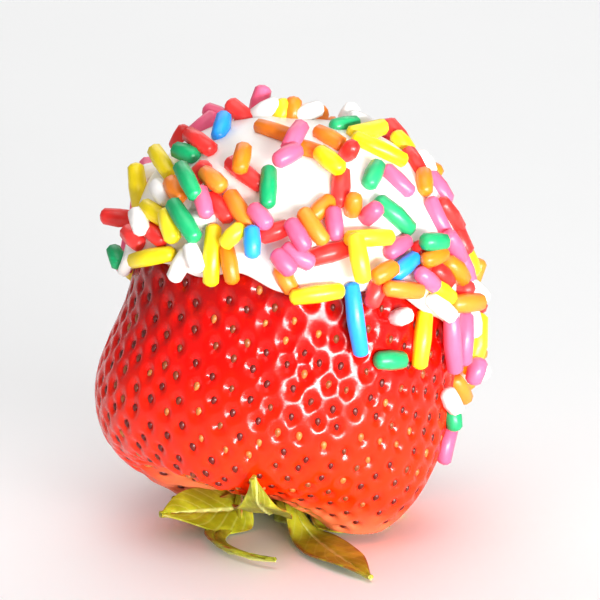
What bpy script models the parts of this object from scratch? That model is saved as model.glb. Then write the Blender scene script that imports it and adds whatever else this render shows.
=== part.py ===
"""A ripe strawberry dipped slantwise in white chocolate and rolled in rainbow sprinkles.

It stands on its stem end with the tip up, as it is served. Three solids make it:
berry_flesh, with its seeds and a few stray sprinkles fused on;
chocolate_coat, the chocolate cap with its sprinkles fused on;
calyx, the green leaves that the shoulders press flat on the table.

Metres, +Z up. The origin is on the table under the middle, and the side with the
short shoulder and the cleft faces -Y.
"""

import math
import random

import bmesh
import bpy
import numpy as np
from mathutils import Matrix, Vector, noise

MM = 0.001

# Flesh
FLESH_RADIUS = 17.5 * MM
TIP_HEIGHT = 39.4 * MM
WIDEST_HEIGHT = 14.3 * MM
BASE_HEIGHT = -1.1 * MM
REST_HEIGHT = 1.0 * MM
TIP_POWER = 2.45
SHOULDER_POWER = 2.15
FLANK_PINCH = 0.06
FLANK_AT = 0.5
FLANK_WIDTH = 0.32
OVAL = 0.02
LOBES = 5
LOBE_TURN = math.radians(200)
LOBE_DEPTH = 0.065
CLEFT_AT = math.radians(-97)
CLEFT_WIDTH = math.radians(13)
CLEFT_DEPTH = 0.07
SHORT_SHOULDER_AT = math.radians(-138)
SHORT_SHOULDER_WIDTH = math.radians(44)
SHORT_SHOULDER_RISE = 6.3 * MM
HOLLOW_DEPTH = 7.0 * MM
HOLLOW_RADIUS = 5.2 * MM
BELLY_SHIFT = -1.2 * MM
FLANK_SHIFT = 0.7 * MM
TIP_SHIFT = -1.1 * MM
BELLY_AT = 13 * MM
FLANK_FROM = 12 * MM
FLANK_TO = 26 * MM
UNEVEN_DEPTH = 0.02
UNEVEN_SCALE = 1.7
FLESH_SIDES = 26
FLESH_RINGS = 18

# Seeds, laid out on the spiral that they grow in
SEED_TURN = math.pi * (3 - math.sqrt(5))
SEEDS_ALL_ROUND = 500
SEED_DRAW = 11
SEED_SCATTER = 0.16
SEED_HALF_LENGTH = 1.25 * MM
SEED_HALF_WIDTH = 0.85 * MM
SEED_HALF_DEPTH = 0.65 * MM
SEED_SINK = 0.32 * MM
SEED_FROM_COAT = 0.9 * MM
SEED_FROM_STEM = 8.5 * MM
LOWEST_SEED = 2.4 * MM

# Chocolate coat
GAP = 0.3 * MM
COAT_THICKNESS = 1.0 * MM
DIP_HEIGHT = 19.8 * MM
DIP_SLOPE_X = -0.4
DIP_SLOPE_Y = -0.47
DIP_BAY_AT = math.radians(-42)
DIP_BAY_WIDTH = math.radians(29)
DIP_BAY_RISE = 6.2 * MM
DIP_SEARCH = (math.radians(10), math.radians(150))
DIP_SEARCH_STEPS = 24
COAT_RINGS = 20
DIP_WAVES = ((3, 0.55 * MM, 0.4), (5, 0.40 * MM, 2.1), (8, 0.45 * MM, 4.4), (13, 0.30 * MM, 1.3))

# Sprinkles
SPRINKLES = 152
SPRINKLE_DRAW = 2024
FLAT_SPRINKLES = 95
STRAY_SPRINKLES = 12
STRAY_DRAW = 5
STRAY_MOST_AT = math.radians(-30)
STRAY_SPREAD = math.radians(32)
STRAY_DROP = 5.0 * MM
STRAY_CLEARANCE = 1.2
SPRINKLE_RADIUS = 0.84 * MM
SHORTEST_SPRINKLE = 2.9 * MM
USUAL_SPRINKLE = 4.3 * MM
SPRINKLE_VARIATION = 1.15 * MM
LONGEST_SPRINKLE = 7.4 * MM
SPRINKLE_LIFT = 0.18 * MM
LEANING_SINK = 0.12 * MM
SPRINKLE_CLEARANCE = 0.94
SPRINKLE_TRIES = 90
SPRINKLE_TILTS = (0, 0, 7, 14, 21, 29, 38)
AXIS_SAMPLES = np.linspace(-1, 1, 7)

# Calyx
LEAVES = (
    # azimuth, reach, half width, floor lift, flare, sweep, flutter, and where it falls flat, how far it lies out
    (-157, 60, 2.9 * MM, 0.0 * MM, 1.8 * MM, 0.08, 0.5 * MM, 14.0 * MM),
    (-99, 68, 2.7 * MM, 0.2 * MM, 0.3 * MM, 0.02, 0.3 * MM, 0),
    (-138, 60, 1.6 * MM, 0.2 * MM, 0.7 * MM, 0.78, 0.3 * MM, 16.4 * MM),
    (-72, 60, 2.6 * MM, 0.2 * MM, 0.1 * MM, 0.06, 0.4 * MM, 21.8 * MM),
    (-22, 29, 3.0 * MM, 0.0 * MM, 0.4 * MM, 0.05, 0.3 * MM, 0),
    (13, 34, 1.9 * MM, 0.2 * MM, 0.5 * MM, -0.05, 0.4 * MM, 0),
    (53, 56, 2.9 * MM, 0.0 * MM, 2.2 * MM, 0.08, 0.5 * MM, 0),
    (87, 61, 1.7 * MM, 0.2 * MM, 2.8 * MM, -0.06, 0.4 * MM, 0),
    (122, 55, 3.0 * MM, 0.0 * MM, 1.8 * MM, 0.07, 0.5 * MM, 0),
    (165, 33, 2.6 * MM, 0.2 * MM, 0.4 * MM, -0.04, 0.3 * MM, 0),
)
LEAF_FALLS = (0.35, 0.65)
LEAF_START = math.radians(8)
LEAF_THICKNESS = 0.55 * MM
LEAF_WIDEST = 1.15
LEAF_FOOT = 0.2
LEAF_TIP = 0.1
LEAF_CUP = 0.35
LEAF_FREE_FROM = 0.55
LEAF_RIPPLES = 5
LEAF_TWIST = 2.5
LEAF_ROWS = 6
LEAF_COLUMNS = 2
LEAF_CLEARANCE = 0.45 * MM
HUB_RADIUS = 3.2 * MM
HUB_HEIGHT = 2.0 * MM
HUB_GRIP = 0.7
HUB_EASE = 1.5
HUB_HALF_THICKNESS = 0.8 * MM
STEM_RADIUS = 1.4 * MM
STEM_TURN = math.radians(7)
PRESSED_FLAT = 0.12 * MM


def ramp(value, low, high):
    """0 below low, 1 above high, and a smooth rise between."""
    share = min(1.0, max(0.0, (value - low) / (high - low)))
    return share * share * (3 - 2 * share)


def bump(azimuth, centre, width):
    """1 at the centre azimuth, falling to 0 a few widths away."""
    off = (azimuth - centre + math.pi) % (2 * math.pi) - math.pi
    return math.exp(-((off / width) ** 2))


def flesh_point(polar, azimuth):
    """Point of the flesh at an angle from the tip and an angle round the axis."""
    up, out = math.cos(polar), math.sin(polar)
    height = TIP_HEIGHT - WIDEST_HEIGHT if up > 0 else WIDEST_HEIGHT - BASE_HEIGHT
    power = TIP_POWER if up > 0 else SHOULDER_POWER
    reach = (abs(out / FLESH_RADIUS) ** power + abs(up / height) ** power) ** (-1 / power)
    shoulder = ramp(-up, 0, 0.8) * ramp(out, 0, 0.5)
    reach *= 1 + OVAL * math.cos(2 * azimuth) * out
    reach *= 1 - FLANK_PINCH * math.exp(-(((up - FLANK_AT) / FLANK_WIDTH) ** 2))
    reach *= 1 + LOBE_DEPTH * math.cos(LOBES * azimuth + LOBE_TURN) * shoulder
    reach *= 1 - CLEFT_DEPTH * bump(azimuth, CLEFT_AT, CLEFT_WIDTH) * shoulder
    direction = Vector((out * math.cos(azimuth), out * math.sin(azimuth), up))
    reach *= 1 + UNEVEN_DEPTH * noise.noise(direction * UNEVEN_SCALE)
    point = direction * reach
    point.z += WIDEST_HEIGHT
    point.z += HOLLOW_DEPTH * ramp(-up, 0, 0.5) * math.exp(-((reach * out / HOLLOW_RADIUS) ** 2))
    short = bump(azimuth, SHORT_SHOULDER_AT, SHORT_SHOULDER_WIDTH)
    point.z += SHORT_SHOULDER_RISE * short * ramp(-up, 0.25, 0.85) * ramp(out, 0, 0.5)
    point.x += BELLY_SHIFT * math.exp(-(((point.z - BELLY_AT) / (BELLY_AT / 2)) ** 2))
    point.x += FLANK_SHIFT * ramp(point.z, FLANK_FROM, FLANK_TO) + TIP_SHIFT * ramp(point.z, FLANK_TO, TIP_HEIGHT)
    point.z = max(point.z, REST_HEIGHT)
    return point


def flesh_frame(polar, azimuth):
    """The flesh's point, outward normal and direction down the side at two angles."""
    step = 0.01
    polar = min(max(polar, 2 * step), math.pi - 2 * step)
    point = flesh_point(polar, azimuth)
    down = flesh_point(polar + step, azimuth) - flesh_point(polar - step, azimuth)
    round_axis = flesh_point(polar, azimuth + step) - flesh_point(polar, azimuth - step)
    return point, down.cross(round_axis).normalized(), down.normalized()


def height_over_dip(polar, azimuth):
    """How far the flesh stands above the wavy line that it was dipped to."""
    point = flesh_point(polar, azimuth)
    line = DIP_HEIGHT + DIP_SLOPE_X * point.x + DIP_SLOPE_Y * point.y
    line += DIP_BAY_RISE * bump(azimuth, DIP_BAY_AT, DIP_BAY_WIDTH)
    line += sum(size * math.sin(waves * azimuth + turn) for waves, size, turn in DIP_WAVES)
    return point.z - line


def coat_edge(azimuth):
    """Polar angle at which the chocolate ends."""
    low, high = DIP_SEARCH
    for _ in range(DIP_SEARCH_STEPS):
        middle = (low + high) / 2
        if height_over_dip(middle, azimuth) > 0:
            low = middle
        else:
            high = middle
    return (low + high) / 2


def shaped_sphere(segments, rings, shape, keep=lambda point: True):
    """A unit sphere, cut to the vertices to keep, with each vertex moved by shape(polar, azimuth)."""
    mesh = bmesh.new()
    bmesh.ops.create_uvsphere(mesh, u_segments=segments, v_segments=rings, radius=1)
    bmesh.ops.delete(mesh, geom=[v for v in mesh.verts if not keep(v.co)], context="VERTS")
    for vertex in mesh.verts:
        polar = math.acos(max(-1.0, min(1.0, vertex.co.z)))
        vertex.co = shape(polar, math.atan2(vertex.co.y, vertex.co.x))
    return mesh


def linked_object(name, mesh, collection, material=None):
    """A named object for a bmesh, in a collection, with its material."""
    data = bpy.data.meshes.new(name)
    mesh.to_mesh(data)
    mesh.free()
    if material:
        data.materials.append(material)
    obj = bpy.data.objects.new(name, data)
    collection.objects.link(obj)
    return obj


def plain_material(name, colour, roughness):
    material = bpy.data.materials.new(name)
    material.use_nodes = True
    surface = material.node_tree.nodes["Principled BSDF"]
    surface.inputs["Base Color"].default_value = (*colour, 1)
    surface.inputs["Roughness"].default_value = roughness
    surface.inputs["Metallic"].default_value = 0.0
    return material


def apply_modifiers(obj):
    """The object's mesh becomes what its modifiers make of it."""
    graph = bpy.context.evaluated_depsgraph_get()
    made = bpy.data.meshes.new_from_object(obj.evaluated_get(graph))
    obj.modifiers.clear()
    obj.data = made


def keep_largest_shell(obj):
    """Drops loose scraps and fills sealed hollows, which are shells of their own."""
    mesh = bmesh.new()
    mesh.from_mesh(obj.data)
    left, shells = set(mesh.verts), []
    while left:
        shell, to_follow = [], [left.pop()]
        while to_follow:
            vertex = to_follow.pop()
            shell.append(vertex)
            reached = {edge.other_vert(vertex) for edge in vertex.link_edges} & left
            left -= reached
            to_follow += reached
        shells.append(shell)
    shells.sort(key=len)
    scraps = [vertex for shell in shells[:-1] for vertex in shell]
    bmesh.ops.delete(mesh, geom=scraps, context="VERTS")
    mesh.to_mesh(obj.data)
    mesh.free()


def fuse(obj, collection):
    """Joins all the collection's solids to the object, and removes them."""
    union = obj.modifiers.new("fused", "BOOLEAN")
    union.operation = "UNION"
    union.operand_type = "COLLECTION"
    union.collection = collection
    union.solver = "EXACT"
    apply_modifiers(obj)
    keep_largest_shell(obj)
    for piece in list(collection.objects):
        bpy.data.objects.remove(piece)
    bpy.data.collections.remove(collection)


def lying(along, out, centre):
    """Places a shape whose length is on Z and whose upper side is +Y."""
    turned = Matrix((out.cross(along).normalized(), out, along)).transposed().to_4x4()
    return Matrix.Translation(centre) @ turned


def seed_angles():
    """(polar, azimuth) of each seed that shows between the chocolate and the leaves."""
    draw = random.Random(SEED_DRAW)
    spacing = math.sqrt(4 * math.pi / SEEDS_ALL_ROUND)
    angles = []
    for i in range(SEEDS_ALL_ROUND):
        polar = math.acos(1 - 2 * (i + 0.5) / SEEDS_ALL_ROUND)
        azimuth = (i * SEED_TURN) % (2 * math.pi)
        polar += draw.uniform(-1, 1) * SEED_SCATTER * spacing
        azimuth += draw.uniform(-1, 1) * SEED_SCATTER * spacing / max(0.2, math.sin(polar))
        point = flesh_point(polar, azimuth)
        bare = polar > coat_edge(azimuth) + SEED_FROM_COAT / FLESH_RADIUS
        in_hollow = point.z < WIDEST_HEIGHT and math.hypot(point.x, point.y) < SEED_FROM_STEM
        if bare and not in_hollow and point.z > LOWEST_SEED:
            angles.append((polar, azimuth))
    return angles


def add_seeds(collection):
    """One low faceted seed for each place, half sunk, with its length down the berry's side."""
    for i, (polar, azimuth) in enumerate(seed_angles()):
        point, normal, down = flesh_frame(polar, azimuth)
        seed = bmesh.new()
        bmesh.ops.create_uvsphere(seed, u_segments=4, v_segments=2, radius=1)
        bmesh.ops.scale(seed, vec=(SEED_HALF_WIDTH, SEED_HALF_DEPTH, SEED_HALF_LENGTH), verts=seed.verts)
        seed.transform(lying(down, normal, point - normal * SEED_SINK))
        linked_object(f"seed_{i}", seed, collection)


def sprinkle_axis(centre, along, length):
    """Points along a sprinkle's axis, as an array."""
    half = length / 2 - SPRINKLE_RADIUS
    return np.array(centre) + np.outer(AXIS_SAMPLES * half, np.array(along))


def clear_of(axis, placed, clearance):
    """True if a sprinkle with this axis keeps its distance, in diameters, from all that are placed."""
    if not placed:
        return True
    others = np.concatenate(placed)
    reach = clearance * 2 * SPRINKLE_RADIUS
    near = others[np.abs(others - axis[len(axis) // 2]).max(axis=1) < LONGEST_SPRINKLE + reach]
    if not len(near):
        return True
    gaps = np.linalg.norm(near[:, None, :] - axis[None, :, :], axis=2)
    return gaps.min() > reach


def lay_sprinkle(draw, polar, azimuth, surface_lift, tilts, placed, clearance=SPRINKLE_CLEARANCE):
    """A sprinkle at a place, lying flat or leaning on others, or None if it can't lie there."""
    length = min(LONGEST_SPRINKLE, max(SHORTEST_SPRINKLE, draw.gauss(USUAL_SPRINKLE, SPRINKLE_VARIATION)))
    turn = draw.uniform(0, 2 * math.pi)
    point, normal, down = flesh_frame(polar, azimuth)
    flat = down * math.cos(turn) + normal.cross(down) * math.sin(turn)
    sag = (length / 2) ** 2 / (2 * FLESH_RADIUS)
    for tilt in tilts:
        lean = math.radians(tilt)
        rise = surface_lift + SPRINKLE_LIFT
        if lean:
            rise += math.sin(lean) * (length / 2 - SPRINKLE_RADIUS) - sag - LEANING_SINK
        along = (flat * math.cos(lean) + normal * math.sin(lean)).normalized()
        out = (normal - along * normal.dot(along)).normalized()
        centre = point + normal * rise
        axis = sprinkle_axis(centre, along, length)
        if clear_of(axis, placed, clearance):
            placed.append(axis)
            return centre, along, out, length
    return None


def coat_sprinkles(placed):
    """(centre, along, out, length) of each sprinkle on the chocolate. Their axes are added to placed."""
    draw = random.Random(SPRINKLE_DRAW)
    lift = GAP + COAT_THICKNESS
    found = []
    for count in range(SPRINKLES):
        for _ in range(SPRINKLE_TRIES):
            azimuth = draw.uniform(0, 2 * math.pi)
            polar = math.acos(draw.uniform(-1, 1))
            if polar > coat_edge(azimuth) - SPRINKLE_RADIUS / FLESH_RADIUS:
                continue
            tilts = SPRINKLE_TILTS[:1] if count < FLAT_SPRINKLES else SPRINKLE_TILTS
            laid = lay_sprinkle(draw, polar, azimuth, lift, tilts, placed)
            if laid:
                found.append(laid)
                break
    return found


def coat_rim():
    """Points along the middle of the chocolate's lower rim, as an array."""
    rim = []
    for degrees in range(0, 360, 2):
        azimuth = math.radians(degrees)
        point, normal, _ = flesh_frame(coat_edge(azimuth), azimuth)
        rim.append(point + normal * (GAP + COAT_THICKNESS / 2))
    return np.array(rim)


def stray_sprinkles():
    """The sprinkles that stuck to the bare flesh below the chocolate, clear of it and of each other."""
    placed = [coat_rim()]
    coat_sprinkles(placed)
    draw = random.Random(STRAY_DRAW)
    found = []
    while len(found) < STRAY_SPRINKLES:
        mostly = draw.gauss(STRAY_MOST_AT, STRAY_SPREAD)
        azimuth = draw.uniform(0, 2 * math.pi) if len(found) % 3 == 0 else mostly
        polar = coat_edge(azimuth) + draw.uniform(0, STRAY_DROP) / FLESH_RADIUS
        laid = lay_sprinkle(draw, polar, azimuth, 0, SPRINKLE_TILTS[:1], placed, STRAY_CLEARANCE)
        if laid:
            found.append(laid)
    return found


def add_sprinkles(laid_out, collection):
    """One five-sided rod with domed ends for each sprinkle."""
    for i, (centre, along, out, length) in enumerate(laid_out):
        rod = bmesh.new()
        bmesh.ops.create_uvsphere(rod, u_segments=5, v_segments=3, radius=SPRINKLE_RADIUS)
        for vertex in rod.verts:
            vertex.co.z += math.copysign(length / 2 - SPRINKLE_RADIUS, vertex.co.z)
        rod.transform(lying(along, out, centre))
        linked_object(f"sprinkle_{i}", rod, collection)


def make_flesh(parts, material):
    flesh = linked_object("berry_flesh", shaped_sphere(FLESH_SIDES, FLESH_RINGS, flesh_point), parts, material)
    fused = bpy.data.collections.new("fused_to_flesh")
    bpy.context.scene.collection.children.link(fused)
    add_seeds(fused)
    add_sprinkles(stray_sprinkles(), fused)
    fuse(flesh, fused)
    return flesh


def coat_point(share, azimuth):
    """Inner face of the chocolate, where share runs from 0 at the tip to a quarter turn at its edge."""
    polar = share / (math.pi / 2) * coat_edge(azimuth)
    point, normal, _ = flesh_frame(polar, azimuth)
    return point + normal * GAP


def make_coat(parts, material):
    cap = shaped_sphere(FLESH_SIDES, COAT_RINGS, coat_point, keep=lambda point: point.z > -1 / COAT_RINGS)
    coat = linked_object("chocolate_coat", cap, parts, material)
    wall = coat.modifiers.new("wall", "SOLIDIFY")
    wall.thickness = COAT_THICKNESS
    wall.offset = 1
    fused = bpy.data.collections.new("fused_to_coat")
    bpy.context.scene.collection.children.link(fused)
    add_sprinkles(coat_sprinkles([]), fused)
    fuse(coat, fused)
    return coat


def leaf_point(along, across, leaf):
    """Point of a leaf's middle sheet. It hugs the shoulder, then turns away from it or falls on the table."""
    azimuth, reach, half_width, floor_lift, flare, sweep, flutter, fallen = leaf
    azimuth, reach = math.radians(azimuth), math.radians(reach)
    polar = math.pi - LEAF_START - along * reach
    outline = math.sin(math.pi * along**LEAF_WIDEST)
    width = half_width * max(outline, LEAF_FOOT if along < LEAF_FREE_FROM else LEAF_TIP)
    middle = flesh_point(polar, azimuth)
    turn = across * width / max(HUB_RADIUS / 2, math.hypot(middle.x, middle.y)) + sweep * along**2
    point, normal, _ = flesh_frame(polar, azimuth + turn)
    free = ramp(along, LEAF_FREE_FROM, 1.0)
    ripple = math.sin(LEAF_RIPPLES * math.pi * along + LEAF_TWIST * across)
    cup = LEAF_CUP * abs(across) * width
    lift = GAP + LEAF_THICKNESS / 2 + LEAF_CLEARANCE + free * (flare + cup + flutter * ripple)
    point += normal * max(lift, GAP + LEAF_THICKNESS / 2)
    if fallen:
        out = max(along * fallen, HUB_RADIUS / 2)
        bearing = azimuth + across * width / out + sweep * along**2
        height = LEAF_THICKNESS / 2 + floor_lift + flare * along**2 + free * cup
        laid = Vector((out * math.cos(bearing), out * math.sin(bearing), height))
        point = point.lerp(laid, ramp(along, *LEAF_FALLS))
    from_hub = ramp(math.hypot(point.x, point.y), HUB_GRIP * HUB_RADIUS, HUB_EASE * HUB_RADIUS)
    point.z = max(HUB_HEIGHT + (point.z - HUB_HEIGHT) * from_hub, LEAF_THICKNESS / 2 + floor_lift)
    return point


def make_leaf(name, leaf_size, collection):
    """A thin solid leaf, split into triangles before it gets its thickness, so both faces match."""
    mesh = bmesh.new()
    bmesh.ops.create_grid(mesh, x_segments=LEAF_ROWS, y_segments=LEAF_COLUMNS, size=1)
    for vertex in mesh.verts:
        vertex.co = leaf_point((vertex.co.x + 1) / 2, vertex.co.y, leaf_size)
    bmesh.ops.triangulate(mesh, faces=mesh.faces, quad_method="ALTERNATE")
    leaf = linked_object(name, mesh, collection)
    sheet = leaf.modifiers.new("thickness", "SOLIDIFY")
    sheet.thickness = LEAF_THICKNESS
    sheet.offset = 0
    apply_modifiers(leaf)
    return leaf


def make_calyx(parts, material):
    hub = bmesh.new()
    bmesh.ops.create_uvsphere(hub, u_segments=14, v_segments=6, radius=1)
    bmesh.ops.scale(hub, vec=(HUB_RADIUS, HUB_RADIUS, HUB_HALF_THICKNESS), verts=hub.verts)
    bmesh.ops.translate(hub, vec=(0, 0, HUB_HEIGHT), verts=hub.verts)
    calyx = linked_object("calyx", hub, parts, material)
    pieces = bpy.data.collections.new("fused_to_hub")
    bpy.context.scene.collection.children.link(pieces)
    stem = bmesh.new()
    place = Matrix.Translation((0, 0, HUB_HEIGHT / 2)) @ Matrix.Rotation(STEM_TURN, 4, "Z")
    bmesh.ops.create_cone(
        stem, cap_ends=True, segments=12, radius1=STEM_RADIUS, radius2=STEM_RADIUS, depth=HUB_HEIGHT, matrix=place
    )
    linked_object("stem_stub", stem, pieces)
    for i, leaf_size in enumerate(LEAVES):
        make_leaf(f"leaf_{i}", leaf_size, pieces)
    fuse(calyx, pieces)
    for vertex in calyx.data.vertices:
        if vertex.co.z < PRESSED_FLAT:
            vertex.co.z = 0
    return calyx


def main():
    for obj in list(bpy.data.objects):
        bpy.data.objects.remove(obj)
    parts = bpy.data.collections.new("chocolate_strawberry")
    bpy.context.scene.collection.children.link(parts)
    make_flesh(parts, plain_material("ripe_flesh", (0.72, 0.015, 0.008), 0.22))
    make_coat(parts, plain_material("white_chocolate", (0.93, 0.89, 0.86), 0.4))
    make_calyx(parts, plain_material("green_leaf", (0.17, 0.27, 0.02), 0.5))


main()
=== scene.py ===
"""Looks of a strawberry dipped in white chocolate and rolled in rainbow sprinkles.

Run it as a script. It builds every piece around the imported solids, in their frame:
metres, +Z up through the tip, and the camera on the -Y side.
"""

import math
import random

import bpy
import numpy as np
from mathutils import Matrix, Vector, noise


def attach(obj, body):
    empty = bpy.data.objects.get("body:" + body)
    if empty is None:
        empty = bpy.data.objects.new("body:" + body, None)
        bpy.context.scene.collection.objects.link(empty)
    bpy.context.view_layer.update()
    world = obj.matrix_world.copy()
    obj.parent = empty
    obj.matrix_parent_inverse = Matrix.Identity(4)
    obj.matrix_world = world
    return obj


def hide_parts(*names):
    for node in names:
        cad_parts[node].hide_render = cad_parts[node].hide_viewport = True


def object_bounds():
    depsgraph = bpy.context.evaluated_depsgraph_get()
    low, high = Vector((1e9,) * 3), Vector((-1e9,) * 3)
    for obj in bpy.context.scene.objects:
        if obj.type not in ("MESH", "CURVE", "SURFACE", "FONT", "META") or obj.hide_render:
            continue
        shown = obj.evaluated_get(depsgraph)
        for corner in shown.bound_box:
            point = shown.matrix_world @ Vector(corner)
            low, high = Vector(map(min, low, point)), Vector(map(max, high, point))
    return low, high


bl_info = {
    "name": "Chocolate Coated Strawberry",
    "version": (1, 0, 0),
    "blender": (4, 5, 0),
    "location": "View3D > Sidebar > Strawberry",
    "description": "Builds a dipped strawberry with its seeds, sprinkles and calyx",
    "category": "Object",
}

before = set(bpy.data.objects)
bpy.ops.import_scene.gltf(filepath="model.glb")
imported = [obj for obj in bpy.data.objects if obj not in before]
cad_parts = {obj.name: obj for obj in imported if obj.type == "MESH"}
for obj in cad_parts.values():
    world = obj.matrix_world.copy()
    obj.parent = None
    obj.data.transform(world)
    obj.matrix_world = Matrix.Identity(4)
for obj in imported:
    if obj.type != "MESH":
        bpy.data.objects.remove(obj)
SOLID_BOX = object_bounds()
MM = 0.001
FULL_TURN = 2 * math.pi

# Flesh, as in the solids
FLESH_RADIUS = 17.5 * MM
TIP_HEIGHT = 39.4 * MM
WIDEST_HEIGHT = 14.3 * MM
BASE_HEIGHT = -1.1 * MM
REST_HEIGHT = 1.0 * MM
TIP_POWER = 2.45
SHOULDER_POWER = 2.15
FLANK_PINCH = 0.06
FLANK_AT = 0.5
FLANK_WIDTH = 0.32
OVAL = 0.02
LOBES = 5
LOBE_TURN = math.radians(200)
LOBE_DEPTH = 0.065
CLEFT_AT = math.radians(-97)
CLEFT_WIDTH = math.radians(13)
CLEFT_DEPTH = 0.07
SHORT_SHOULDER_AT = math.radians(-138)
SHORT_SHOULDER_WIDTH = math.radians(44)
SHORT_SHOULDER_RISE = 6.3 * MM
HOLLOW_DEPTH = 7.0 * MM
HOLLOW_RADIUS = 5.2 * MM
BELLY_SHIFT = -1.2 * MM
FLANK_SHIFT = 0.7 * MM
TIP_SHIFT = -1.1 * MM
BELLY_AT = 13 * MM
FLANK_FROM = 12 * MM
FLANK_TO = 26 * MM
UNEVEN_DEPTH = 0.02
UNEVEN_SCALE = 1.7

# Chocolate, as in the solids
GAP = 0.3 * MM
COAT_THICKNESS = 1.0 * MM
DIP_HEIGHT = 19.8 * MM
DIP_SLOPE_X = -0.4
DIP_SLOPE_Y = -0.47
DIP_BAY_AT = math.radians(-42)
DIP_BAY_WIDTH = math.radians(29)
DIP_BAY_RISE = 6.2 * MM
DIP_SEARCH = (math.radians(10), math.radians(150))
DIP_SEARCH_STEPS = 24
DIP_WAVES = ((3, 0.55 * MM, 0.4), (5, 0.40 * MM, 2.1), (8, 0.45 * MM, 4.4), (13, 0.30 * MM, 1.3))

# Sprinkles, as in the solids
SPRINKLES = 152
SPRINKLE_DRAW = 2024
FLAT_SPRINKLES = 95
STRAY_SPRINKLES = 12
STRAY_DRAW = 5
STRAY_MOST_AT = math.radians(-30)
STRAY_SPREAD = math.radians(32)
STRAY_DROP = 5.0 * MM
STRAY_CLEARANCE = 1.2
SPRINKLE_RADIUS = 0.84 * MM
SHORTEST_SPRINKLE = 2.9 * MM
USUAL_SPRINKLE = 4.3 * MM
SPRINKLE_VARIATION = 1.15 * MM
LONGEST_SPRINKLE = 7.4 * MM
SPRINKLE_LIFT = 0.18 * MM
LEANING_SINK = 0.12 * MM
SPRINKLE_CLEARANCE = 0.94
SPRINKLE_TRIES = 90
SPRINKLE_TILTS = (0, 0, 7, 14, 21, 29, 38)
AXIS_SAMPLES = np.linspace(-1, 1, 7)

# Calyx, as in the solids, with two front leaves bent a little more closely to the picture
LEAVES = (
    # azimuth, reach, half width, floor lift, flare, sweep, flutter, and for a leaf that falls flat,
    # how far it lies out and how steeply its back edge is raised
    (-157, 60, 2.9 * MM, 1.3 * MM, 0.9 * MM, 0.08, 0.5 * MM, 14.0 * MM, 0.55),
    (-99, 68, 2.7 * MM, 0.2 * MM, 0.3 * MM, 0.02, 0.3 * MM, 0, 0),
    (-160, 60, 1.5 * MM, 0.1 * MM, 0.7 * MM, 1.15, 0.3 * MM, 16.4 * MM, 0.1),
    (-72, 60, 2.6 * MM, 0.2 * MM, 0.1 * MM, 0.06, 0.4 * MM, 21.8 * MM, 0),
    (-22, 29, 3.0 * MM, 0.0 * MM, 0.4 * MM, 0.05, 0.3 * MM, 0, 0),
    (13, 34, 1.9 * MM, 0.2 * MM, 0.5 * MM, -0.05, 0.4 * MM, 0, 0),
    (53, 56, 2.9 * MM, 0.0 * MM, 2.2 * MM, 0.08, 0.5 * MM, 0, 0),
    (87, 61, 1.7 * MM, 0.2 * MM, 2.8 * MM, -0.06, 0.4 * MM, 0, 0),
    (122, 55, 3.0 * MM, 0.0 * MM, 1.8 * MM, 0.07, 0.5 * MM, 0, 0),
    (165, 33, 2.6 * MM, 0.2 * MM, 0.4 * MM, -0.04, 0.3 * MM, 0, 0),
)
LEAF_FALLS = (0.1, 0.4)
LEAF_START = math.radians(8)
LEAF_WIDEST = 1.15
LEAF_FOOT = 0.2
LEAF_TIP = 0.1
LEAF_CUP = 0.35
LEAF_FREE_FROM = 0.55
LEAF_RIPPLES = 5
LEAF_TWIST = 2.5
LEAF_CLEARANCE = 0.45 * MM
LEAF_THICKNESS = 0.55 * MM
HUB_RADIUS = 3.2 * MM
HUB_HEIGHT = 2.0 * MM
HUB_GRIP = 0.7
HUB_EASE = 1.5
HUB_HALF_THICKNESS = 0.8 * MM
STEM_RADIUS = 1.4 * MM
LEAF_SHEET_SHARE = 0.8
RIB_WIDTH = 0.1
RIB_TAPER = 0.6
VEIN_WAVES = 62.0
VEIN_SLANT = 0.25
HUB_SIDES = (40, 20)
STEM_SIDES = 32

# Fineness of the finished meshes
FLESH_SEGMENTS = 130
FLESH_RINGS = 48
HALVINGS = 2
RINGS_UNDER_COAT = 0.06
RINGS_IN_HOLLOW = 0.08
UNDER_COAT = math.radians(7)
HOLLOW_FROM = math.radians(160)
CROWDED_RIM = 1.6
EDGE_SAMPLES = 720
ANGLE_STEP = 0.01
SHARP_FROM = math.radians(40)

# Pale flesh at the stem end: the angles from the tip where it starts and is full, and its share there
NECK = (math.radians(122), math.radians(146))
NECK_SHARE = 0.8

# Seeds and the pits that they sit in
SEED_TURN = math.pi * (3 - math.sqrt(5))
SEED_DRAW = 11
SEED_SCATTER = 0.16
SEED_UNDER_COAT = 1.5 * MM
SEED_FROM_STEM = 8.5 * MM
LOWEST_SEED = 1.6 * MM
SEED_SIDES = (8, 6)
SEED_POINT = 0.3
SEED_TAPER = 0.12
SEED_SIZES = (0.85, 1.12)
SEED_ASKEW = 0.15
FEW_PALE_SEEDS = 3
PIT_STRETCH = 1.2
PIT_REACH = 2

# Sprinkles of the finished piece
BENT_SPRINKLES = 0.5
SPRINKLE_PLUMPNESS = (1.04, 1.18)
LIGHTER_SHARE = 0.02
DEEPER_SHARE = 0.88

# Stage
FLOOR_SIDES = 96
FLOOR_RADIUS = 2
SENSOR_WIDTH = 36
LIGHTS = (
    # name, setting of its power, azimuth, elevation, distance, width, height, and the distance behind the
    # berry's middle at which it is aimed
    ("glint_strip", "glint_power", 27, 3, 0.6, 0.45, 0.09, 0),
    ("key_softbox", "key_power", 36, 32, 0.7, 0.4, 0.35, 0),
    ("fill_softbox", "fill_power", -70, 20, 0.8, 0.5, 0.6, 0),
    ("top_softbox", "top_power", 0, 78, 0.8, 0.7, 0.7, 0),
    ("back_softbox", "back_power", 180, 50, 0.7, 0.9, 0.6, 0.25),
)


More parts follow.
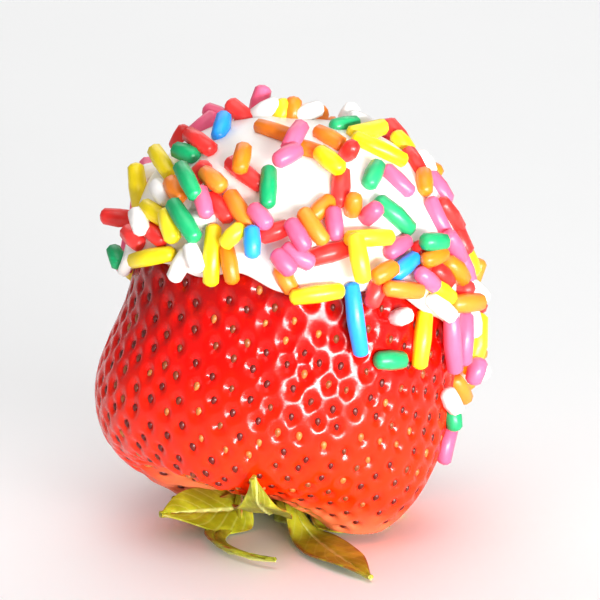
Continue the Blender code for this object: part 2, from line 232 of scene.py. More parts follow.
def srgb(red, green, blue):
    """A colour as its 0 to 255 values on a screen, made linear."""
    return tuple(
        (v / 255 / 12.92) if v <= 10 else ((v / 255 + 0.055) / 1.055) ** 2.4 for v in (red, green, blue)
    )


# Shape of the berry and of the dip, the same as in the solids


def ramp(value, low, high):
    """0 below low, 1 above high, and a smooth rise between."""
    share = np.clip((value - low) / (high - low), 0, 1)
    return share * share * (3 - 2 * share)


def bump(azimuth, centre, width):
    """1 at the centre azimuth, falling to 0 a few widths away."""
    off = (azimuth - centre + math.pi) % FULL_TURN - math.pi
    return np.exp(-((off / width) ** 2))


def flesh_points(polar, azimuth):
    """Points of the flesh at angles from the tip and angles round the axis, as rows."""
    polar, azimuth = np.broadcast_arrays(np.asarray(polar, float), np.asarray(azimuth, float))
    up, out = np.cos(polar), np.sin(polar)
    height = np.where(up > 0, TIP_HEIGHT - WIDEST_HEIGHT, WIDEST_HEIGHT - BASE_HEIGHT)
    power = np.where(up > 0, TIP_POWER, SHOULDER_POWER)
    reach = (np.abs(out / FLESH_RADIUS) ** power + np.abs(up / height) ** power) ** (-1 / power)
    shoulder = ramp(-up, 0, 0.8) * ramp(out, 0, 0.5)
    reach *= 1 + OVAL * np.cos(2 * azimuth) * out
    reach *= 1 - FLANK_PINCH * np.exp(-(((up - FLANK_AT) / FLANK_WIDTH) ** 2))
    reach *= 1 + LOBE_DEPTH * np.cos(LOBES * azimuth + LOBE_TURN) * shoulder
    reach *= 1 - CLEFT_DEPTH * bump(azimuth, CLEFT_AT, CLEFT_WIDTH) * shoulder
    direction = np.stack((out * np.cos(azimuth), out * np.sin(azimuth), up), axis=-1)
    uneven = [noise.noise(place) for place in (direction * UNEVEN_SCALE).reshape(-1, 3).tolist()]
    reach *= 1 + UNEVEN_DEPTH * np.reshape(uneven, reach.shape)
    x, y, z = np.moveaxis(direction * reach[..., None], -1, 0)
    z = z + WIDEST_HEIGHT
    z = z + HOLLOW_DEPTH * ramp(-up, 0, 0.5) * np.exp(-((reach * out / HOLLOW_RADIUS) ** 2))
    short = bump(azimuth, SHORT_SHOULDER_AT, SHORT_SHOULDER_WIDTH)
    z = z + SHORT_SHOULDER_RISE * short * ramp(-up, 0.25, 0.85) * ramp(out, 0, 0.5)
    x = x + BELLY_SHIFT * np.exp(-(((z - BELLY_AT) / (BELLY_AT / 2)) ** 2))
    x = x + FLANK_SHIFT * ramp(z, FLANK_FROM, FLANK_TO) + TIP_SHIFT * ramp(z, FLANK_TO, TIP_HEIGHT)
    return np.stack((x, y, np.maximum(z, REST_HEIGHT)), axis=-1)


def flesh_frames(polar, azimuth):
    """Points, outward normals and directions down the side at angles, each as rows."""
    polar = np.clip(polar, 2 * ANGLE_STEP, math.pi - 2 * ANGLE_STEP)
    down = flesh_points(polar + ANGLE_STEP, azimuth) - flesh_points(polar - ANGLE_STEP, azimuth)
    round_axis = flesh_points(polar, azimuth + ANGLE_STEP) - flesh_points(polar, azimuth - ANGLE_STEP)
    normal = np.cross(down, round_axis)
    normal /= np.linalg.norm(normal, axis=-1, keepdims=True)
    return flesh_points(polar, azimuth), normal, down / np.linalg.norm(down, axis=-1, keepdims=True)


def flesh_frame(polar, azimuth):
    """The flesh's point, outward normal and direction down the side at two angles."""
    return tuple(Vector(row) for row in flesh_frames(polar, azimuth))


def height_over_dip(polar, azimuth):
    """How far the flesh stands above the wavy line that it was dipped to."""
    x, y, z = np.moveaxis(flesh_points(polar, azimuth), -1, 0)
    line = DIP_HEIGHT + DIP_SLOPE_X * x + DIP_SLOPE_Y * y
    line += DIP_BAY_RISE * bump(azimuth, DIP_BAY_AT, DIP_BAY_WIDTH)
    line += sum(size * np.sin(waves * azimuth + turn) for waves, size, turn in DIP_WAVES)
    return z - line


def coat_edges(azimuths):
    """Polar angles at which the chocolate ends."""
    low = np.full(len(azimuths), DIP_SEARCH[0])
    high = np.full(len(azimuths), DIP_SEARCH[1])
    for _ in range(DIP_SEARCH_STEPS):
        middle = (low + high) / 2
        covered = height_over_dip(middle, azimuths) > 0
        low = np.where(covered, middle, low)
        high = np.where(covered, high, middle)
    return (low + high) / 2


EDGE_AZIMUTHS = np.linspace(0, FULL_TURN, EDGE_SAMPLES + 1)
EDGE_POLARS = coat_edges(EDGE_AZIMUTHS)


def edge_near(azimuth):
    """The chocolate's edge, read from angles worked out beforehand."""
    return np.interp(np.asarray(azimuth) % FULL_TURN, EDGE_AZIMUTHS, EDGE_POLARS)


# Helpers for pieces


def deselect():
    bpy.ops.object.select_all(action="DESELECT")


def select_only(obj):
    """Makes an object the selected and the active one."""
    deselect()
    obj.select_set(True)
    bpy.context.view_layer.objects.active = obj


def add_ball(name, segments, rings, halvings=0):
    """A unit ball primitive, with each face's sides halved a number of times."""
    deselect()
    bpy.ops.mesh.primitive_uv_sphere_add(segments=segments, ring_count=rings, radius=1)
    ball = bpy.context.object
    ball.name = ball.data.name = name
    if halvings:
        halved = {"subdivision_type": "SIMPLE", "levels": halvings, "render_levels": halvings}
        add_modifier(ball, "finer", "SUBSURF", **halved)
    return ball


def points_of(obj):
    """The places of an object's vertices, as rows."""
    points = np.empty(len(obj.data.vertices) * 3)
    obj.data.vertices.foreach_get("co", points)
    return points.reshape(-1, 3)


def move_points(obj, points):
    """Puts an object's vertices at new places."""
    obj.data.vertices.foreach_set("co", np.ascontiguousarray(points, dtype=np.float32).ravel())
    obj.data.update()


def normals_of(obj):
    """The directions of an object's vertex normals, as rows."""
    normals = np.empty(len(obj.data.vertices) * 3)
    obj.data.vertices.foreach_get("normal", normals)
    return normals.reshape(-1, 3)


def angles_of(obj):
    """(polar, azimuth) of each vertex of a ball."""
    points = points_of(obj)
    points /= np.linalg.norm(points, axis=1, keepdims=True)
    polar = np.arccos(np.clip(points[:, 2], -1, 1))
    return polar, np.arctan2(points[:, 1], points[:, 0])


def write_attribute(obj, name, values):
    """Stores one number for each vertex, for a material to read."""
    attribute = obj.data.attributes.new(name, "FLOAT", "POINT")
    attribute.data.foreach_set("value", np.ascontiguousarray(values, dtype=np.float32))


def settle(obj):
    """Moves an object's place, turn and scale into its mesh."""
    select_only(obj)
    bpy.ops.object.transform_apply(location=True, rotation=True, scale=True)


def add_modifier(obj, name, kind, **settings):
    """Adds a modifier and applies it at once."""
    modifier = obj.modifiers.new(name, kind)
    for setting, value in settings.items():
        setattr(modifier, setting, value)
    select_only(obj)
    bpy.ops.object.modifier_apply(modifier=modifier.name)


def shade(obj, smooth=True):
    """Shades an object smoothly, either all of it or up to its sharp edges."""
    select_only(obj)
    if smooth:
        bpy.ops.object.shade_smooth()
    else:
        bpy.ops.object.shade_smooth_by_angle(angle=SHARP_FROM)


def copy_to(model, place):
    """A copy of a modelled shape with its own mesh, at a place."""
    copy = model.copy()
    copy.data = model.data.copy()
    copy.data.transform(place)
    bpy.context.collection.objects.link(copy)
    return copy


def join_as(name, pieces):
    """Joins pieces into one named object."""
    deselect()
    for piece in pieces:
        piece.select_set(True)
    bpy.context.view_layer.objects.active = pieces[0]
    bpy.ops.object.join()
    joined = bpy.context.object
    joined.name = joined.data.name = name
    return joined


def remove(obj):
    mesh = obj.data
    bpy.data.objects.remove(obj)
    bpy.data.meshes.remove(mesh)


def lying(along, out, centre):
    """Places a shape whose length is on Z and whose upper side is +Y."""
    turned = Matrix((out.cross(along).normalized(), out, along)).transposed().to_4x4()
    return Matrix.Translation(centre) @ turned


def hand_over(piece, material, slot, *stands_for):
    """Gives a finished piece its material and hangs it on the frame's root."""
    piece.data.materials.clear()
    piece.data.materials.append(material)
    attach(piece, "root")
    if stands_for:
        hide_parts(*stands_for)


# Helpers for materials


class Finish:
    """A new material, and short ways to add nodes to it."""

    def __init__(self, name):
        self.material = bpy.data.materials.new(name)
        self.material.use_nodes = True
        self.tree = self.material.node_tree
        self.surface = self.tree.nodes["Principled BSDF"]
        self.place = self.add("ShaderNodeTexCoord").outputs["Object"]

    def add(self, kind, inputs=None, **settings):
        """A node with its settings, and its inputs set to values or linked to outputs."""
        node = self.tree.nodes.new(kind)
        for setting, value in settings.items():
            setattr(node, setting, value)
        for name, value in (inputs or {}).items():
            self.feed(node.inputs[name], value)
        return node

    def feed(self, socket, value):
        """Sets a socket, or links it where the value is another node's output."""
        if isinstance(value, bpy.types.NodeSocket):
            self.tree.links.new(value, socket)
        elif socket.type == "RGBA":
            socket.default_value = (*value[:3], 1)
        else:
            socket.default_value = value

    def set(self, **values):
        """Sets sockets of the surface shader, with _ for each space in a name."""
        for name, value in values.items():
            self.feed(self.surface.inputs[name.replace("_", " ")], value)

    def grain(self, size, detail):
        """Soft random spots of about a size, from 0 to 1."""
        inputs = {"Vector": self.place, "Scale": 1 / size, "Detail": detail}
        return self.add("ShaderNodeTexNoise", inputs).outputs["Fac"]

    def attribute(self, name):
        """The number that a mesh stores for each vertex under a name."""
        return self.add("ShaderNodeAttribute", attribute_name=name).outputs["Fac"]

    def fit(self, value, low, high, to_low=0.0, to_high=1.0):
        """A value's range fitted to another, held at its ends."""
        inputs = {"Value": value, "From Min": low, "From Max": high, "To Min": to_low, "To Max": to_high}
        return self.add("ShaderNodeMapRange", inputs, interpolation_type="SMOOTHSTEP").outputs["Result"]

    def height(self):
        """The height over the table."""
        return self.add("ShaderNodeSeparateXYZ", {"Vector": self.place}).outputs["Z"]

    def mix(self, share, first, second):
        """Two colours mixed by a share."""
        node = self.add("ShaderNodeMix", data_type="RGBA")
        self.feed(node.inputs[0], share)
        self.feed(node.inputs[6], first)
        self.feed(node.inputs[7], second)
        return node.outputs[2]

    def maths(self, operation, first, second=0.0):
        """The result of one operation on one or two numbers."""
        node = self.add("ShaderNodeMath", operation=operation)
        self.feed(node.inputs[0], first)
        self.feed(node.inputs[1], second)
        return node.outputs[0]

    def roughen(self, grain, roughness, low, least, most):
        """Sets a roughness that changes with a grain, from least to most above the given one."""
        self.set(Roughness=self.fit(grain, low, 0.8, roughness + least, roughness + most))

    def relief(self, height, depth, strength):
        """Bumps of a depth on the surface's normal."""
        node = self.add("ShaderNodeBump", {"Height": height, "Distance": depth, "Strength": strength})
        self.feed(self.surface.inputs["Normal"], node.outputs["Normal"])


def colour_setting(name, description, *rgb):
    return bpy.props.FloatVectorProperty(
        name=name, description=description, subtype="COLOR", size=3, min=0, max=1, default=srgb(*rgb)
    )


def length_setting(name, description, default):
    return bpy.props.FloatProperty(
        name=name, description=description, default=default, min=0, unit="LENGTH", precision=5
    )


def share_setting(name, description, default):
    return bpy.props.FloatProperty(
        name=name, description=description, default=default, min=0, max=1, subtype="FACTOR"
    )


def count_setting(name, description, default):
    return bpy.props.IntProperty(name=name, description=description, default=default, min=1)


def number_setting(name, description, default, unit="NONE"):
    return bpy.props.FloatProperty(name=name, description=description, default=default, unit=unit)


class FleshLook(bpy.types.PropertyGroup):
    pit_radius: length_setting("Pit radius", "Reach of the dimple round a seed", 1.2 * MM)
    pit_depth: length_setting("Pit depth", "Depth of the wide dimple", 0.04 * MM)
    hole_radius: length_setting("Hole radius", "Reach of the deeper hole under a seed", 0.58 * MM)
    hole_depth: length_setting("Hole depth", "Depth of the deeper hole", 0.42 * MM)
    neck: colour_setting("Near the leaves", "Pale flesh at the stem end", 246, 142, 92)
    lower: colour_setting("Lower flesh", "Orange-red flesh of the belly", 245, 46, 4)
    middle: colour_setting("Middle flesh", "Bright red flesh", 224, 8, 2)
    # Upper flesh is deep red and partly painted shade, darkening the flesh just below the chocolate's edge
    upper: colour_setting("Upper flesh", "Deep red flesh under the chocolate", 150, 3, 2)
    # The pit colour is partly the flesh's deeper red round the seeds and partly painted shade, darkening
    # each seed's hollow
    pit: colour_setting("In the pits", "Dark red round each seed", 158, 6, 4)
    roughness: share_setting("Roughness", "Roughness of the skin", 0.18)


class SeedLook(bpy.types.PropertyGroup):
    all_round: count_setting("Seeds all round", "Seeds on the whole berry, under the chocolate too", 820)
    half_length: length_setting("Half length", "Half of a seed's length", 0.46 * MM)
    half_width: length_setting("Half width", "Half of a seed's width", 0.31 * MM)
    half_depth: length_setting("Half depth", "Half of a seed's thickness", 0.26 * MM)
    sink: length_setting("Sink", "Depth of a seed's middle below the skin", 0.42 * MM)
    dark: colour_setting("Ripe seed", "Brown of a ripe seed", 96, 20, 10)
    light: colour_setting("Pale seed", "Straw yellow of a pale seed", 204, 124, 54)


class ChocolateLook(bpy.types.PropertyGroup):
    segments: count_setting("Segments", "Coarse faces round the coat", 76)
    rings: count_setting("Rings", "Coarse faces over both sides of the coat", 46)
    bead: length_setting("Bead", "Extra thickness of the coat's lower edge", 0.28 * MM)
    bead_width: length_setting("Bead width", "Reach of the thicker edge", 1.3 * MM)
    unevenness: length_setting("Unevenness", "Height of the soft lumps in the coat", 0.22 * MM)
    lump_size: length_setting("Lump size", "Width of the soft lumps in the coat", 4.5 * MM)
    colour: colour_setting("Chocolate", "White chocolate", 252, 247, 240)
    # The thin chocolate colour is painted shade: a darker copy of the chocolate, laid in random cloudy
    # patches
    shadow: colour_setting("Thin chocolate", "Chocolate where it is thin or in a dip", 249, 241, 236)
    roughness: share_setting("Roughness", "Roughness of the set chocolate", 0.38)


class SprinkleLook(bpy.types.PropertyGroup):
    more: count_setting("More sprinkles", "Sprinkles added between those of the solids", 100)
    segments: count_setting("Segments", "Faces round a sprinkle", 8)
    rings: count_setting("Rings", "Rings of faces along a sprinkle", 6)
    lift: length_setting("Lift", "Rise of a sprinkle's middle over the chocolate", 0.34 * MM)
    stray_lift: length_setting("Stray lift", "Rise of a sprinkle's middle over the bare flesh", 0.5 * MM)
    bend: share_setting("Bend", "Largest bend of a sprinkle, as a share of its length", 0.07)
    red: colour_setting("Red", "Coral red sugar", 248, 42, 36)
    orange: colour_setting("Orange", "Orange sugar", 255, 134, 4)
    yellow: colour_setting("Yellow", "Yellow sugar", 255, 226, 0)
    pink: colour_setting("Pink", "Pink sugar", 255, 96, 138)
    green: colour_setting("Green", "Green sugar", 0, 172, 104)
    white: colour_setting("White", "White sugar", 255, 250, 246)
    blue: colour_setting("Blue", "Blue sugar", 0, 156, 255)
    roughness: share_setting("Roughness", "Roughness of the sugar glaze", 0.33)


class CalyxLook(bpy.types.PropertyGroup):
    rows: count_setting("Rows", "Faces along a leaf", 44)
    columns: count_setting("Columns", "Faces across a leaf", 14)
    vein_height: length_setting("Vein height", "Height of a leaf's veins", 0.12 * MM)
    midrib_height: length_setting("Midrib height", "Height of a leaf's midrib", 0.28 * MM)
    edge_share: share_setting("Edge thickness", "A leaf's thickness at its edge over its middle's", 0.35)
    green: colour_setting("Leaf", "Olive green of the leaves", 132, 130, 8)
    bright: colour_setting("Young leaf", "Yellow-green of folded and young parts", 178, 178, 36)
    rib: colour_setting("Midrib", "Pale green of the veins", 202, 204, 116)
    dry: colour_setting("Dry edge", "Brown of a dry edge", 142, 84, 26)


class StageLook(bpy.types.PropertyGroup):
    distance: length_setting("Camera distance", "From the berry to the camera", 0.5)
    elevation: number_setting("Camera elevation", "Height angle of the camera", math.radians(15), "ROTATION")
    across: length_setting("Width in view", "What the picture spans at the berry", 58.8 * MM)
    aim_x: number_setting("Aim X", "X of the middle of the picture", 1.225 * MM, "LENGTH")
    aim_height: length_setting("Aim height", "Height of the picture's middle over the table", 22.47 * MM)
    floor: colour_setting("Floor", "Pale table top", 250, 250, 250)
    glint_power: number_setting("Glint light", "Low strip at the right", 8.0, "POWER")
    key_power: number_setting("Key light", "Softbox at the front right", 0.25, "POWER")
    fill_power: number_setting("Fill light", "Softbox at the left", 0.15, "POWER")
    top_power: number_setting("Top light", "Softbox overhead", 3.1, "POWER")
    back_power: number_setting("Back light", "Softbox over the back", 3.2, "POWER")
    world: number_setting("Sky", "Strength of the light from all round", 0.24)


SETTINGS = {
    "berry_flesh_look": FleshLook,
    "berry_seed_look": SeedLook,
    "white_chocolate_look": ChocolateLook,
    "sprinkle_look": SprinkleLook,
    "calyx_look": CalyxLook,
    "stage_look": StageLook,
}


# Seeds and flesh


def seed_places(look):
    """(point, normal, down) of each seed below the chocolate's edge, on the spiral that they grow in."""
    draw = random.Random(SEED_DRAW)
    spacing = math.sqrt(4 * math.pi / look.all_round)
    places = []
    for i in range(look.all_round):
        polar = math.acos(1 - 2 * (i + 0.5) / look.all_round)
        azimuth = (i * SEED_TURN) % FULL_TURN
        polar += draw.uniform(-1, 1) * SEED_SCATTER * spacing
        azimuth += draw.uniform(-1, 1) * SEED_SCATTER * spacing / max(0.2, math.sin(polar))
        if polar < edge_near(azimuth) - SEED_UNDER_COAT / FLESH_RADIUS:
            continue
        point, normal, down = flesh_frame(polar, azimuth)
        in_hollow = point.z < WIDEST_HEIGHT and math.hypot(point.x, point.y) < SEED_FROM_STEM
        if not in_hollow and point.z > LOWEST_SEED:
            places.append((point, normal, down))
    return places


def flesh_polars(shares, azimuths):
    """Polar angles of the flesh's rings: few under the chocolate and in the hollow, most between."""
    covered = edge_near(azimuths) - UNDER_COAT
    under = shares / RINGS_UNDER_COAT * covered
    bare_share = (shares - RINGS_UNDER_COAT) / (1 - RINGS_UNDER_COAT - RINGS_IN_HOLLOW)
    bare = covered + bare_share * (HOLLOW_FROM - covered)
    hollow = math.pi - (1 - shares) / RINGS_IN_HOLLOW * (math.pi - HOLLOW_FROM)
    return np.where(shares < RINGS_UNDER_COAT, under, np.where(bare_share < 1, bare, hollow))


def dimpled(points, normals, seeds, look):
    """The points sunk round each seed, and how deep in a pit each is, from 0 to 1, as the share of the
    painted shade in the pits.
    """
    depth = np.zeros(len(points))
    pit_shade = np.zeros(len(points))
    by_height = np.argsort(points[:, 2])
    heights = points[by_height, 2]
    for centre, _, down in seeds:
        reach = PIT_REACH * look.pit_radius
        first, last = np.searchsorted(heights, (centre.z - reach, centre.z + reach))
        level = by_height[first:last]
        near = level[np.abs(points[level] - centre).max(axis=1) < reach]
        offset = points[near] - centre
        along = offset @ np.array(down)
        across = np.linalg.norm(offset - np.outer(along, down), axis=1)
        away = np.hypot(along / PIT_STRETCH, across)
        hole = np.exp(-((away / look.hole_radius) ** 2))
        dip = np.clip(1 - (away / look.pit_radius) ** 2, 0, 1) ** 2
        depth[near] += look.pit_depth * dip + look.hole_depth * hole
        pit_shade[near] = np.maximum(pit_shade[near], hole)
    return points - normals * depth[:, None], pit_shade


def flesh_finish(look):
    finish = Finish("ripe_flesh")
    height = finish.height()
    blotch = finish.maths("MULTIPLY_ADD", finish.grain(9 * MM, 3), 6 * MM)
    blotch.node.inputs[2].default_value = -3 * MM
    level = finish.maths("ADD", height, blotch)
    colour = finish.mix(finish.fit(level, 7 * MM, 21 * MM), look.lower, look.middle)
    # Deeper red towards the chocolate, partly painted shade under the coat's edge
    colour = finish.mix(finish.fit(level, 18 * MM, 28 * MM), colour, look.upper)
    speckle = finish.fit(finish.grain(0.9 * MM, 3), 0.45, 0.75, 0, 0.16)
    colour = finish.mix(speckle, colour, look.lower)
    colour = finish.mix(finish.attribute("neck"), colour, look.neck)
    # Painted shade in the pits: darker red by how deep in a seed's hollow a point lies
    colour = finish.mix(finish.fit(finish.attribute("pit"), 0.4, 1.0, 0, 0.75), colour, look.pit)
    finish.set(Base_Color=colour)
    finish.roughen(finish.grain(2.5 * MM, 2), look.roughness, 0.2, -0.05, 0.08)
    finish.set(Subsurface_Weight=0.12, Subsurface_Scale=1.2 * MM, Subsurface_Radius=(1.0, 0.22, 0.12))
    finish.set(Specular_IOR_Level=0.3)
    finish.relief(finish.grain(0.32 * MM, 2), 0.02 * MM, 0.6)
    return finish.material


def seed_finish(look):
    finish = Finish("strawberry_seed")
    tint = finish.attribute("tint")
    colour = finish.mix(finish.fit(tint, 0.1, 0.9), look.dark, look.light)
    colour = finish.mix(finish.fit(finish.grain(0.3 * MM, 2), 0.4, 0.7, 0, 0.4), colour, look.dark)
    finish.set(Base_Color=colour, Roughness=0.36, Specular_IOR_Level=0.5)
    finish.relief(finish.grain(0.2 * MM, 2), 0.02 * MM, 0.5)
    return finish.material


class STRAWBERRY_OT_flesh(bpy.types.Operator):
    """Builds the berry's flesh, with a dimple round each seed"""

    bl_idname = "strawberry.flesh"
    bl_label = "Dimpled flesh"

    def execute(self, context):
        look = context.scene.berry_flesh_look
        seeds = seed_places(context.scene.berry_seed_look)
        flesh = add_ball("dimpled_flesh", FLESH_SEGMENTS, FLESH_RINGS, HALVINGS)
        polars, azimuths = angles_of(flesh)
        polars = flesh_polars(polars / math.pi, azimuths)
        move_points(flesh, flesh_points(polars, azimuths))
        points, pit_shade = dimpled(points_of(flesh), normals_of(flesh), seeds, look)
        move_points(flesh, points)
        # The pit share drives the painted shade in the pits
        write_attribute(flesh, "pit", pit_shade)
        write_attribute(flesh, "neck", NECK_SHARE * ramp(polars, *NECK))
        shade(flesh)
        hand_over(flesh, flesh_finish(look), "berry", "berry_flesh")
        return {"FINISHED"}


def model_seed(look):
    """A seed lying on its side: its length on Z, pointed at the lower end, and its upper side +Y."""
    seed = add_ball("seed_model", *SEED_SIDES)
    points = points_of(seed)
    narrow = 1 - SEED_POINT * np.clip(points[:, 2], -1, 1) - SEED_TAPER * points[:, 2] ** 2
    points[:, :2] *= narrow[:, None]
    move_points(seed, points * (look.half_width, look.half_depth, look.half_length))
    return seed


class STRAWBERRY_OT_seeds(bpy.types.Operator):
    """Builds the seeds that show on the bare flesh"""

    bl_idname = "strawberry.seeds"
    bl_label = "Seeds"

    def execute(self, context):
        look = context.scene.berry_seed_look
        draw = random.Random(SEED_DRAW + 1)
        model = model_seed(look)
        seeds = []
        for point, normal, down in seed_places(look):
            size = draw.uniform(*SEED_SIZES)
            turned = Matrix.Rotation(draw.gauss(0, SEED_ASKEW), 4, normal)
            along = (turned @ down).normalized()
            out = (normal - along * normal.dot(along)).normalized()
            place = lying(along, out, point - normal * look.sink) @ Matrix.Scale(size, 4)
            seed = copy_to(model, place)
            tint = draw.random() ** FEW_PALE_SEEDS
            write_attribute(seed, "tint", np.full(len(seed.data.vertices), tint))
            seeds.append(seed)
        remove(model)
        joined = join_as("seeds", seeds)
        shade(joined)
        hand_over(joined, seed_finish(look), "seed")
        return {"FINISHED"}


# Chocolate


def coat_shell(polar_on_ball, azimuth, look):
    """Points of the chocolate: the outer face from tip to rim, then the inner face back to the tip."""
    quarter = polar_on_ball / (math.pi / 2)
    outer = quarter <= 1
    share = 1 - (1 - np.minimum(np.where(outer, quarter, 2 - quarter), 1)) ** CROWDED_RIM
    edge = edge_near(azimuth)
    points, normals, _ = flesh_frames(share * edge, azimuth)
    from_rim = (1 - share) * edge * FLESH_RADIUS
    half = COAT_THICKNESS / 2
    rounding = np.sqrt(1 - np.clip(1 - from_rim / half, 0, 1) ** 2)
    lumps = [noise.noise(place) for place in (points / look.lump_size).tolist()]
    bead = look.bead * np.exp(-((from_rim / look.bead_width) ** 2))
    rise = np.where(outer, half + bead + look.unevenness * np.array(lumps), -half)
    return points + normals * (GAP + half + rounding * rise)[:, None]


def chocolate_finish(look):
    finish = Finish("white_chocolate")
    # Painted shade in random cloudy patches: the chocolate mixed with its darker copy
    shade_cloud = finish.fit(finish.grain(4 * MM, 3), 0.3, 0.75)
    colour = finish.mix(shade_cloud, look.colour, look.shadow)
    finish.set(Base_Color=colour)
    finish.roughen(finish.grain(1.4 * MM, 3), look.roughness, 0.25, -0.06, 0.1)
    finish.set(Subsurface_Weight=0.3, Subsurface_Scale=1.2 * MM, Subsurface_Radius=(1.0, 0.85, 0.7))
    finish.set(Specular_IOR_Level=0.45)
    finish.relief(finish.grain(1.1 * MM, 4), 0.06 * MM, 0.5)
    return finish.material


class STRAWBERRY_OT_chocolate(bpy.types.Operator):
    """Builds the white chocolate cap, with a rounded lower edge"""

    bl_idname = "strawberry.chocolate"
    bl_label = "White chocolate"

    def execute(self, context):
        look = context.scene.white_chocolate_look
        coat = add_ball("white_chocolate_cap", look.segments, look.rings, HALVINGS)
        polars, azimuths = angles_of(coat)
        move_points(coat, coat_shell(polars, azimuths, look))
        shade(coat)
        hand_over(coat, chocolate_finish(look), "white_chocolate", "chocolate_coat")
        return {"FINISHED"}


# Sprinkles


def sprinkle_axis(centre, along, length):
    """Points along a sprinkle's axis, as an array."""
    half = length / 2 - SPRINKLE_RADIUS
    return np.array(centre) + np.outer(AXIS_SAMPLES * half, np.array(along))


def clear_of(axis, placed, clearance):
    """True if a sprinkle with this axis keeps its distance, in diameters, from all that are placed."""
    if not placed:
        return True
    others = np.concatenate(placed)
    reach = clearance * 2 * SPRINKLE_RADIUS
    near = others[np.abs(others - axis[len(axis) // 2]).max(axis=1) < LONGEST_SPRINKLE + reach]
    if not len(near):
        return True
    gaps = np.linalg.norm(near[:, None, :] - axis[None, :, :], axis=2)
    return gaps.min() > reach


def lay_sprinkle(draw, polar, azimuth, surface_lift, tilts, placed, clearance=SPRINKLE_CLEARANCE):
    """A sprinkle at a place, lying flat or leaning on others, or None if it can't lie there."""
    length = min(LONGEST_SPRINKLE, max(SHORTEST_SPRINKLE, draw.gauss(USUAL_SPRINKLE, SPRINKLE_VARIATION)))
    turn = draw.uniform(0, FULL_TURN)
    point, normal, down = flesh_frame(polar, azimuth)
    flat = down * math.cos(turn) + normal.cross(down) * math.sin(turn)
    sag = (length / 2) ** 2 / (2 * FLESH_RADIUS)
    for tilt in tilts:
        lean = math.radians(tilt)
        rise = surface_lift + SPRINKLE_LIFT
        if lean:
            rise += math.sin(lean) * (length / 2 - SPRINKLE_RADIUS) - sag - LEANING_SINK
        along = (flat * math.cos(lean) + normal * math.sin(lean)).normalized()
        out = (normal - along * normal.dot(along)).normalized()
        centre = point + normal * rise
        axis = sprinkle_axis(centre, along, length)
        if clear_of(axis, placed, clearance):
            placed.append(axis)
            return centre, along, out, length
    return None


def coat_sprinkles(placed, draw, number, flat_number):
    """(centre, along, out, length) of sprinkles on the chocolate. Their axes are added to placed."""
    lift = GAP + COAT_THICKNESS
    found = []
    for count in range(number):
        for _ in range(SPRINKLE_TRIES):
            azimuth = draw.uniform(0, FULL_TURN)
            polar = math.acos(draw.uniform(-1, 1))
            if polar > edge_near(azimuth) - SPRINKLE_RADIUS / FLESH_RADIUS:
                continue
            tilts = SPRINKLE_TILTS[:1] if count < flat_number else SPRINKLE_TILTS
            laid = lay_sprinkle(draw, polar, azimuth, lift, tilts, placed)
            if laid:
                found.append(laid)
                break
    return found


def coat_rim():
    """Points along the middle of the chocolate's lower rim, as an array."""
    azimuths = np.radians(range(0, 360, 2))
    points, normals, _ = flesh_frames(edge_near(azimuths), azimuths)
    return points + normals * (GAP + COAT_THICKNESS / 2)


def stray_sprinkles(placed):
    """The sprinkles that stuck to the bare flesh below the chocolate, clear of it and of each other."""
    draw = random.Random(STRAY_DRAW)
    found = []
    while len(found) < STRAY_SPRINKLES:
        mostly = draw.gauss(STRAY_MOST_AT, STRAY_SPREAD)
        azimuth = draw.uniform(0, FULL_TURN) if len(found) % 3 == 0 else mostly
        polar = edge_near(azimuth) + draw.uniform(0, STRAY_DROP) / FLESH_RADIUS
        laid = lay_sprinkle(draw, polar, azimuth, 0, SPRINKLE_TILTS[:1], placed, STRAY_CLEARANCE)
        if laid:
            found.append(laid)
    return found


SPRINKLE_SHARES = {"red": 17, "orange": 16, "yellow": 15, "pink": 15, "green": 12, "white": 10, "blue": 5}

